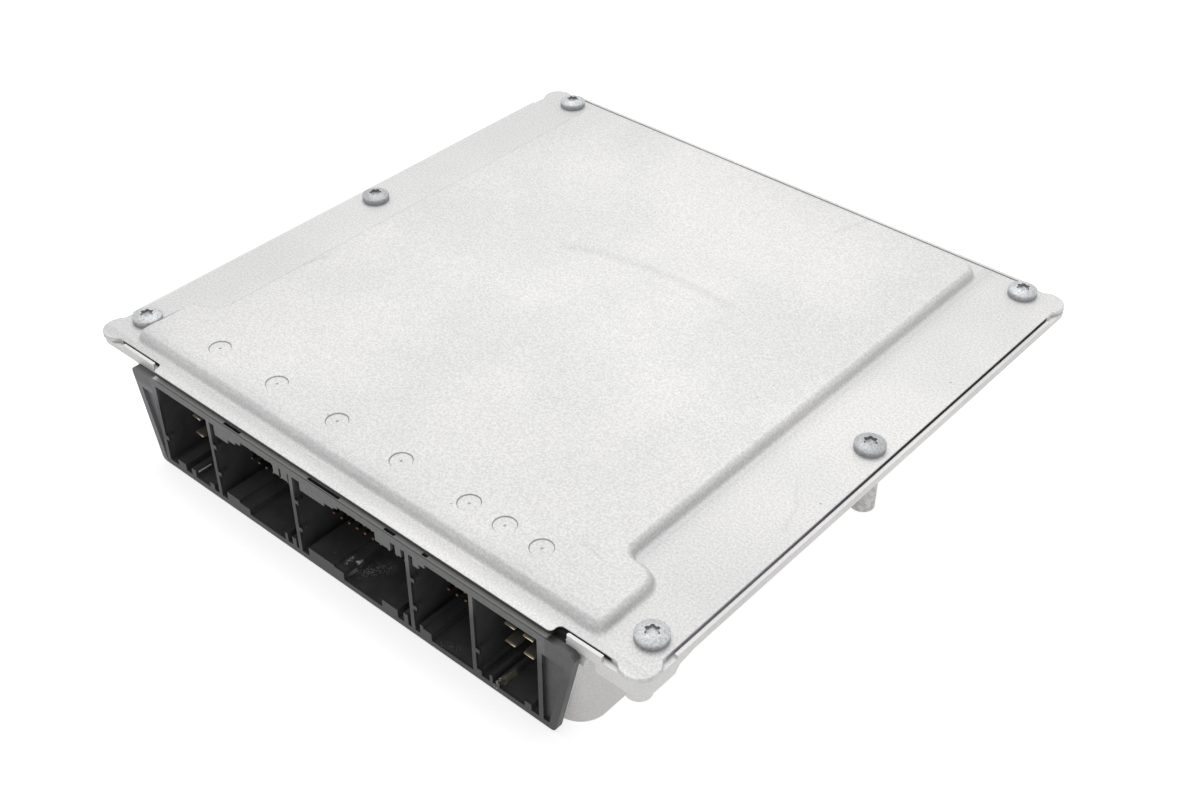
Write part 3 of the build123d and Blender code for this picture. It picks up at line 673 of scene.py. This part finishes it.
class Shader:
    """Node graph of one material, in object coordinates."""

    def __init__(self, name):
        self.material = bpy.data.materials.new(name)
        self.material.use_nodes = True
        self.tree = self.material.node_tree
        self.tree.nodes.clear()
        output = self.tree.nodes.new("ShaderNodeOutputMaterial")
        self.surface = self.tree.nodes.new("ShaderNodeBsdfPrincipled")
        self.tree.links.new(self.surface.outputs["BSDF"], output.inputs["Surface"])
        self.place = self.tree.nodes.new("ShaderNodeTexCoord").outputs["Object"]
        split = self.tree.nodes.new("ShaderNodeSeparateXYZ")
        self.tree.links.new(self.place, split.inputs["Vector"])
        self.axes = dict(zip("xyz", split.outputs))
        self.axes["side"] = self.math("ABSOLUTE", self.axes["x"])

    def put(self, socket, value):
        """Link a socket or write a value to an input."""
        if isinstance(value, bpy.types.NodeSocket):
            self.tree.links.new(value, socket)
        else:
            socket.default_value = value

    def noise(self, scale, detail=3.0, rough=0.55):
        """Value of a noise field; the scale is in cycles per metre."""
        node = self.tree.nodes.new("ShaderNodeTexNoise")
        self.put(node.inputs["Vector"], self.place)
        node.inputs["Scale"].default_value = scale
        node.inputs["Detail"].default_value = detail
        node.inputs["Roughness"].default_value = rough
        return node.outputs["Fac"]

    def ramp(self, value, low, high, to_low=0.0, to_high=1.0):
        """Map a value from one range to another, smoothly and clamped."""
        node = self.tree.nodes.new("ShaderNodeMapRange")
        node.interpolation_type = "SMOOTHSTEP"
        self.put(node.inputs["Value"], value)
        node.inputs["From Min"].default_value = low
        node.inputs["From Max"].default_value = high
        node.inputs["To Min"].default_value = to_low
        node.inputs["To Max"].default_value = to_high
        return node.outputs["Result"]

    def math(self, operation, first, second=0.0):
        """Arithmetic on two values."""
        node = self.tree.nodes.new("ShaderNodeMath")
        node.operation = operation
        self.put(node.inputs[0], first)
        self.put(node.inputs[1], second)
        return node.outputs[0]

    def vector(self, operation, first, second):
        """Arithmetic on two vectors."""
        node = self.tree.nodes.new("ShaderNodeVectorMath")
        node.operation = operation
        self.put(node.inputs[0], first)
        self.put(node.inputs[1], second)
        return node

    def mix(self, factor, first, second):
        """Blend between two colours."""
        node = self.tree.nodes.new("ShaderNodeMix")
        node.data_type = "RGBA"
        self.put(node.inputs["Factor"], factor)
        self.put(node.inputs["A"], first)
        self.put(node.inputs["B"], second)
        return node.outputs["Result"]

    def bump(self, height, depth):
        """Surface relief; the depth is in metres."""
        node = self.tree.nodes.new("ShaderNodeBump")
        self.put(node.inputs["Height"], height)
        node.inputs["Strength"].default_value = 1.0
        node.inputs["Distance"].default_value = depth
        return node.outputs["Normal"]

    def specks(self, scale, radius, share):
        """Mask of scattered dots: near a cell's point, in a share of the cells."""
        cells = self.tree.nodes.new("ShaderNodeTexVoronoi")
        self.put(cells.inputs["Vector"], self.place)
        cells.inputs["Scale"].default_value = scale
        near = self.ramp(cells.outputs["Distance"], radius, radius / 2)
        chosen = self.tree.nodes.new("ShaderNodeSeparateColor")
        self.put(chosen.inputs["Color"], cells.outputs["Color"])
        pick = self.math("LESS_THAN", chosen.outputs["Red"], share)
        return self.math("MULTIPLY", near, pick)

    def mask(self, bounds, strength=1.0):
        """Strength times each bound's share, which goes smoothly from its least to 1."""
        total = strength
        for axis, start, full, *least in bounds:
            share = self.ramp(self.axes[axis], start * MM, full * MM, *least)
            total = self.math("MULTIPLY", share, total)
        return total

    def washes(self, base, rows):
        """Base colour under the washes of a table, one over the other."""
        for tone, strength, bounds in rows:
            base = self.mix(self.mask(bounds, strength), base, colour(*tone))
        return base

    def plan(self):
        """Place in plan."""
        return self.vector("MULTIPLY", self.place, (1, 1, 0)).outputs["Vector"]

    def reach(self, places):
        """Distance in plan from the nearest of some places."""
        plan = self.plan()
        nearest = None
        for x, y in places:
            gap = self.vector("DISTANCE", plan, (x * MM, y * MM, 0)).outputs["Value"]
            nearest = self.math("MINIMUM", gap, nearest) if nearest else gap
        return nearest

    def stroke(self, points, width):
        """Soft line in plan through points: 1 on it, 0 at the width from it.

        The distance to each straight run is the length from the place to the run's
        nearest point, which lies at a share from 0 to 1 along the run.
        """
        plan = self.plan()
        nearest = width * MM
        for start, end in zip(points, points[1:]):
            origin = (start[0] * MM, start[1] * MM, 0)
            run = ((end[0] - start[0]) * MM, (end[1] - start[1]) * MM, 0)
            offset = self.vector("SUBTRACT", plan, origin).outputs["Vector"]
            along = self.vector("DOT_PRODUCT", offset, run).outputs["Value"]
            share = self.math("DIVIDE", along, run[0] ** 2 + run[1] ** 2)
            share = self.math("MINIMUM", self.math("MAXIMUM", share, 0.0), 1.0)
            point = self.vector("SCALE", run, (0, 0, 0))
            self.put(point.inputs["Scale"], share)
            gap = self.vector("DISTANCE", offset, point.outputs["Vector"]).outputs["Value"]
            nearest = self.math("MINIMUM", gap, nearest)
        return self.ramp(nearest, 0.0, width * MM, 1.0, 0.0)

    def set(self, **values):
        """Write or link inputs of the surface, by name with underscores."""
        for name, value in values.items():
            self.put(self.surface.inputs[name.replace("_", " ")], value)


def cast_metal(name, light, dark, rough, metallic, sand, shading):
    """Blasted aluminium or zinc: even tone, sandy grain, dark specks and the piece's shading."""
    shader = Shader(name)
    cloud = shader.noise(METAL_CLOUD, rough=0.5)
    base = shader.mix(shader.ramp(cloud, *MIDDLE), colour(*dark), colour(*light))
    grain = shader.noise(METAL_GRAIN, detail=2.0, rough=0.65)
    base = shader.mix(shader.ramp(grain, *WIDE, sand, 0.0), base, colour(*GRIT))
    specks = shader.specks(METAL_SPECKS, SPECK_RADIUS, SPECK_SHARE)
    base = shader.mix(shader.math("MULTIPLY", specks, SPECK_STRENGTH), base, colour(*SPECK))
    shader.set(
        Base_Color=shading(shader, base),
        Metallic=metallic,
        Roughness=rough,
        Normal=shader.bump(grain, METAL_RELIEF),
    )
    return shader.material


def lid_shading(shader, base):
    """Coarse sand of the front border, then painted shade: washes, creases and cut edges, with painted
    light on the near part of the right cut edge.
    """
    shade_and_grit = colour(*PAINTED_SHADE_AND_GRIT)
    coarse = shader.noise(LID_SAND, detail=2.0, rough=0.7)
    sand = shader.ramp(coarse, *WIDE, -SAND_STRENGTH, SAND_STRENGTH)
    base = shader.mix(shader.mask(SAND_BOUNDS, sand), base, shade_and_grit)
    base = shader.washes(base, LID_PAINTED_SHADE)
    for points, width, strength in CREASES:
        crease = shader.math("MULTIPLY", shader.stroke(points, width), strength)
        base = shader.mix(crease, base, shade_and_grit)
    # Painted shade on the front cut edge, and painted light turning to painted shade on the right one
    front = shader.washes(colour(*FRONT_CUT_SHADE), FRONT_CUT_TOP_SHADE)
    base = shader.mix(shader.mask(FRONT_CUT), base, front)
    side = shader.washes(colour(*SIDE_CUT_LIGHT), SIDE_CUT_BACK_SHADE)
    return shader.mix(shader.mask(SIDE_CUT), base, side)


def tray_shading(shader, base):
    """Painted shadow in the notch of the flange beside the tongue, and darker, mottled side bosses."""
    base = shader.washes(base, TRAY_NOTCH_SHADOW)
    mottle = shader.ramp(shader.noise(MOTTLE), *MIDDLE, *BOSS_MOTTLE)
    return shader.mix(shader.mask(BOSS_BOUNDS, mottle), base, colour(*BOSS_TONE))


def screw_shading(shader, base):
    """The screws' painted shade and darker middle pair, with each point's distance from the nearest
    screw's axis.
    """
    shader.axes["reach"] = shader.reach(SCREWS)
    return shader.washes(base, SCREW_WASHES)


def moulded(name, light, dark, rough, shading=None):
    """Glass-filled plastic: mottling, fine grain, dust and, where given, the piece's shading."""
    shader = Shader(name)
    cloud = shader.noise(PLASTIC_CLOUD, detail=4.0, rough=0.6)
    base = shader.mix(shader.ramp(cloud, *MIDDLE), colour(*dark), colour(*light))
    if shading:
        base = shading(shader, base)
    dust = shader.specks(PLASTIC_DUST, DUST_RADIUS, DUST_SHARE)
    base = shader.mix(shader.math("MULTIPLY", dust, DUST_STRENGTH), base, colour(*PALE_DUST))
    grain = shader.noise(PLASTIC_GRAIN, detail=2.0)
    shader.set(Base_Color=base, Roughness=rough, Normal=shader.bump(grain, PLASTIC_RELIEF))
    return shader.material


def housing_shading(shader, base):
    """Painted light and shade on the face at the mouth of the bays and on the plate's left end and top,
    and marks of use.
    """
    # Painted light and shade on the face, the plate's left end and its top
    mottle = shader.ramp(shader.noise(MOTTLE), *MIDDLE, *FACE_MOTTLE)
    face = shader.washes(colour(*FACE_PAINTED_TONE), FACE_LIGHT_AND_SHADE)
    base = shader.mix(shader.mask(FACE_BOUNDS, mottle), base, face)
    end = shader.washes(colour(*END_PAINTED_LIGHT), END_TOP_SHADE)
    base = shader.mix(shader.mask(END_BOUNDS, END_STRENGTH), base, end)
    top = shader.washes(colour(*TOP_PAINTED_LIGHT), TOP_PAINTED_SHADE)
    base = shader.mix(shader.mask(TOP_BOUNDS), base, top)

    dust = shader.ramp(shader.noise(SCUFF_DUST, detail=1.0), *FINE)
    for points, width, low, high, flecked, tone in SCUFFS:
        heights = (("z", low - SCUFF_SOFT, low), ("z", high + SCUFF_SOFT, high))
        mask = shader.mask(heights, shader.stroke(points, width))
        flecks = shader.ramp(dust, 0.0, 1.0, 1.0 - flecked, 1.0)
        base = shader.mix(shader.math("MULTIPLY", mask, flecks), base, colour(*tone))
    return base


def plain(name, tone, rough, metallic, shade=0.12, shading=None):
    """Finish with a slight mottling and, where given, the piece's shading."""
    shader = Shader(name)
    cloud = shader.noise(PLAIN_CLOUD)
    light = colour(*tone)
    dark = (*(channel * (1 - shade) for channel in light[:3]), 1.0)
    base = shader.mix(shader.ramp(cloud, *MIDDLE), dark, light)
    if shading:
        base = shading(shader, base)
    shader.set(Base_Color=base, Roughness=rough, Metallic=metallic)
    return shader.material


def pin_shading(shader, base):
    """Coppery tip on a pin, with painted shade behind it."""
    return shader.washes(base, PIN_PAINTED_SHADE)


def blade_shading(shader, base):
    """Bright tip on a blade, with painted shade behind it that darkens with depth."""
    face = shader.washes(colour(*BLADE_SHADE_TONE), BLADE_DEPTH_SHADE)
    return shader.mix(shader.mask(BLADE_BOUNDS), base, face)


# Pieces


def spot(skin, x):
    """One pressed spot with a mark in its middle; its rim is returned."""
    rings = []
    for radius, down in SPOT_PROFILE:
        rings.append(skin.loop(circle(x, SPOT_Y, radius, CIRCLE_STEPS), CENTRE_TOP - down))
    skin.bands(rings)
    skin.fill(rings[-1])
    return rings[0]


def lid_panel():
    """Pressed sheet: rounded edge, flat margin, sloped side, flat top and pressed spots."""
    skin = Skin()
    under = skin.loop(lid_outline(EDGE_UNDER), SEAT)
    wall = [under, skin.loop(lid_outline(0), SEAT + EDGE_UNDER)]
    edge = arc((EDGE_ROUND, LID_TOP - EDGE_ROUND), EDGE_ROUND, 180, -90, SHEET_STEPS)
    for inset, height in edge:
        wall.append(skin.loop(lid_outline(inset), height))
    skin.bands(wall)

    sides = []
    for inset, height in slope_profile(FOOT_ROUND, BRIM_ROUND, SLOPE_STEPS):
        sides.append(skin.loop(rounded(PLATEAU, inset), LID_TOP + height))
    skin.bands(sides)

    hollow = []
    blunt = [(x, y, radius + SHEET) for x, y, radius in PLATEAU]
    for inset, height in slope_profile(BRIM_ROUND, FOOT_ROUND, HOLLOW_STEPS):
        hollow.append(skin.loop(rounded(blunt, inset + SHEET), SEAT + height))
    skin.bands(hollow)
    skin.fill(hollow[-1])

    upper_holes = []
    lower_holes = []
    for x, y in SCREWS:
        rim = circle(x, y, SCREW_HOLE, HOLE_STEPS)
        upper_holes.append(skin.loop(rim, LID_TOP))
        lower_holes.append(skin.loop(rim, SEAT))
        skin.band(upper_holes[-1], lower_holes[-1])
    skin.fill(wall[-1], [sides[0], *upper_holes])
    skin.fill(under, [hollow[0], *lower_holes])
    skin.fill(sides[-1], [spot(skin, x) for x in SPOT_XS])
    piece = skin.piece("lid_panel")
    smooth(piece, LID_SHARP)
    return piece


def star(angles):
    """Radius of the six-lobe drive, as a mean and a swing round it.

    The swing is multiplied by a flattened cosine of the angle times the number of lobes.
    """
    wave = np.cos(LOBES * angles)
    mean, swing = (LOBE_OUT + LOBE_IN) / 2, (LOBE_OUT - LOBE_IN) / 2
    return mean + swing * np.sign(wave) * np.abs(wave) ** LOBE_FLATNESS


def screw(skin, x, y, turn):
    """One screw: banded pan head with a six-lobe drive, and a threaded shank.

    The dome is a sphere through the band's edge and the crown. The thread takes a
    triangle wave of height and angle off the shank's radius.
    """
    angles = np.linspace(0, 2 * math.pi, SCREW_STEPS, endpoint=False)
    way = np.column_stack((np.cos(angles), np.sin(angles)))
    place = np.array((x, y))
    dome = HEAD_HEIGHT - HEAD_BAND
    ball = (HEAD_RADIUS**2 + dome**2) / (2 * dome)

    def crown(radius):
        """Height of the dome at a radius."""
        return HEAD_TOP - ball + np.sqrt(ball**2 - radius**2)

    def ring(radius, height):
        """Loop at one radius, or at a radius for each angle."""
        radius = np.broadcast_to(radius, SCREW_STEPS)
        return skin.loop(place + way * radius[:, None], height)

    shank = []
    last = THREAD_ROWS - 1
    for row in range(THREAD_ROWS):
        z = SHANK_END - SHANK_END * row / last
        wave = np.abs(((z / THREAD_PITCH - angles / (2 * math.pi)) % 1) - 0.5) * 2
        fade = min(1.0, row / THREAD_FADE, (last - row) / THREAD_FADE)
        point = SHANK_POINT * max(0, 1 - row / THREAD_FADE)
        radius = SHANK_RADIUS - THREAD_DEPTH * (1 - wave) * fade - point
        shank.append(ring(radius, LID_TOP + z))
    skin.fill(shank[0])
    head = [
        ring(HEAD_RADIUS - HEAD_FOOT, LID_TOP),
        ring(HEAD_RADIUS, LID_TOP + HEAD_FOOT),
        ring(HEAD_RADIUS, LID_TOP + HEAD_BAND - BAND_BREAK),
        ring(HEAD_RADIUS - BAND_INSET, LID_TOP + HEAD_BAND),
    ]
    drive = star(angles - turn)
    for share in CROWN_SHARES:
        radius = drive + (HEAD_RADIUS - BAND_INSET - drive) * share
        head.append(ring(radius, crown(radius)))
    head.append(ring(drive, crown(drive) - DRIVE_LIP))
    head.append(ring(drive - DRIVE_TAPER, DRIVE_FLOOR + DRIVE_ROUND))
    head.append(ring(drive * DRIVE_SOLE, DRIVE_FLOOR))
    skin.bands(shank + head)
    skin.fill(head[-1])


def screws():
    """The six screws of the lid, each turned its own way."""
    skin = Skin()
    for (x, y), turn in zip(SCREWS, SCREW_TURNS):
        screw(skin, x, y, turn)
    piece = skin.piece("lid_screw_set")
    smooth(piece, SCREW_SHARP)
    return piece


# Stage


def floor(material):
    """Wide floor at the height of the unit's feet."""
    corners = ((-1, -1), (1, -1), (1, 1), (-1, 1))
    mesh = bpy.data.meshes.new("floor")
    mesh.from_pydata([(x * FLOOR_HALF, y * FLOOR_HALF, 0) for x, y in corners], [], [(0, 1, 2, 3)])
    mesh.materials.append(material)
    linked("floor", mesh)


def seen_rays(tree):
    """1 for camera, glossy and transmission rays."""
    path = tree.nodes.new("ShaderNodeLightPath")
    total = path.outputs["Is Camera Ray"]
    for name in ("Is Glossy Ray", "Is Transmission Ray"):
        joint = tree.nodes.new("ShaderNodeMath")
        joint.operation = "MAXIMUM"
        tree.links.new(total, joint.inputs[0])
        tree.links.new(path.outputs[name], joint.inputs[1])
        total = joint.outputs[0]
    return total


def floor_material():
    """Pale floor that shows white and keeps the unit's shadow."""
    material = bpy.data.materials.new("floor")
    material.use_nodes = True
    tree = material.node_tree
    tree.nodes.clear()
    output = tree.nodes.new("ShaderNodeOutputMaterial")
    diffuse = tree.nodes.new("ShaderNodeBsdfDiffuse")
    diffuse.inputs["Color"].default_value = FLOOR_TONE
    glow = tree.nodes.new("ShaderNodeEmission")
    glow.inputs["Color"].default_value = WHITE
    lift = tree.nodes.new("ShaderNodeMath")
    lift.operation = "MULTIPLY"
    lift.inputs[1].default_value = FLOOR_GLOW
    tree.links.new(seen_rays(tree), lift.inputs[0])
    tree.links.new(lift.outputs[0], glow.inputs["Strength"])
    both = tree.nodes.new("ShaderNodeAddShader")
    tree.links.new(diffuse.outputs[0], both.inputs[0])
    tree.links.new(glow.outputs[0], both.inputs[1])
    tree.links.new(both.outputs[0], output.inputs["Surface"])
    return material


def aimed(name, data, place, target):
    """New object at a place, looking at a target."""
    piece = linked(name, data)
    piece.location = place
    piece.rotation_mode = "QUATERNION"
    piece.rotation_quaternion = (Vector(target) - Vector(place)).to_track_quat("-Z", "Y")
    return piece


def lamp(name, place, target, size, power):
    """Soft square area lamp."""
    data = bpy.data.lights.new(name, "AREA")
    data.shape = "SQUARE"
    data.size = size
    data.energy = power
    aimed(name, data, place, target)


def studio():
    """White surroundings, one broad lamp behind and above, one weak fill."""
    world = bpy.data.worlds.new("studio")
    bpy.context.scene.world = world
    world.use_nodes = True
    tree = world.node_tree
    background = tree.nodes["Background"]
    background.inputs["Color"].default_value = WHITE
    strength = tree.nodes.new("ShaderNodeMapRange")
    tree.links.new(seen_rays(tree), strength.inputs["Value"])
    strength.inputs["To Min"].default_value = WORLD_LIGHT
    strength.inputs["To Max"].default_value = WORLD_SEEN
    tree.links.new(strength.outputs["Result"], background.inputs["Strength"])
    for row in LAMPS:
        lamp(*row)


def camera():
    """Camera at the photograph's viewing angle."""
    data = bpy.data.cameras.new("camera")
    data.sensor_width = SENSOR
    data.lens = CAMERA_LENS
    data.clip_start = CAMERA_NEAR
    bpy.context.scene.camera = aimed("camera", data, CAMERA_AT, CAMERA_AIM)


lid_metal = cast_metal(
    "lid_aluminium",
    light=(239, 238, 237),
    dark=(231, 231, 230),
    rough=0.58,
    metallic=0.45,
    sand=0.24,
    shading=lid_shading,
)
tray_metal = cast_metal(
    "tray_aluminium",
    light=(238, 237, 236),
    dark=(226, 225, 224),
    rough=0.58,
    metallic=0.35,
    sand=0.12,
    shading=tray_shading,
)
screw_metal = cast_metal(
    "screw_zinc",
    light=(230, 232, 233),
    dark=(220, 222, 223),
    rough=0.5,
    metallic=0.4,
    sand=0.4,
    shading=screw_shading,
)
plastic = moulded("housing_plastic", (76, 76, 78), (62, 62, 64), rough=0.5, shading=housing_shading)
carrier_plastic = moulded("carrier_plastic", (36, 36, 38), (28, 28, 30), rough=0.6)
blade_metal = plain(
    "blade_plating", (255, 238, 216), rough=0.3, metallic=0.75, shade=0.0, shading=blade_shading
)
pin_metal = plain(
    "pin_plating", (168, 128, 104), rough=0.4, metallic=0.1, shade=0.0, shading=pin_shading
)
finishes = {"carrier_plastic": carrier_plastic, "screw_zinc": screw_metal}
for name, (tone, rough, metallic) in FINISHES.items():
    finishes[name] = plain(name, tone, rough, metallic)

settle(lid_panel(), lid_metal, "lid", "lid")
settle(screws(), screw_metal, "screw", "lid_screws")

tray = joined_copy("tray", "tray_casting")
soften(tray, TRAY_BREAK)
settle(tray, tray_metal, "tray", "tray")

housing = joined_copy("connector_housing", "housing_moulding")
soften(housing, HOUSING_BREAK)
settle(housing, plastic, "housing", "connector_housing")

contact_nodes = {
    "signal_pins_left": pin_metal,
    "signal_pins_middle": pin_metal,
    "signal_pins_right": pin_metal,
    "power_blades_left": blade_metal,
    "power_blades_right": blade_metal,
}
for node, metal in contact_nodes.items():
    contacts = joined_copy(node, node + "_plated")
    soften(contacts, CONTACT_BREAK, steps=1)
    settle(contacts, metal, "contact", node)

for node, finish in KEPT_NODES.items():
    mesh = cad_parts[node].data
    mesh.materials.clear()
    mesh.materials.append(finishes[finish])

floor(floor_material())
studio()
camera()
bpy.context.scene.view_settings.view_transform = "Standard"
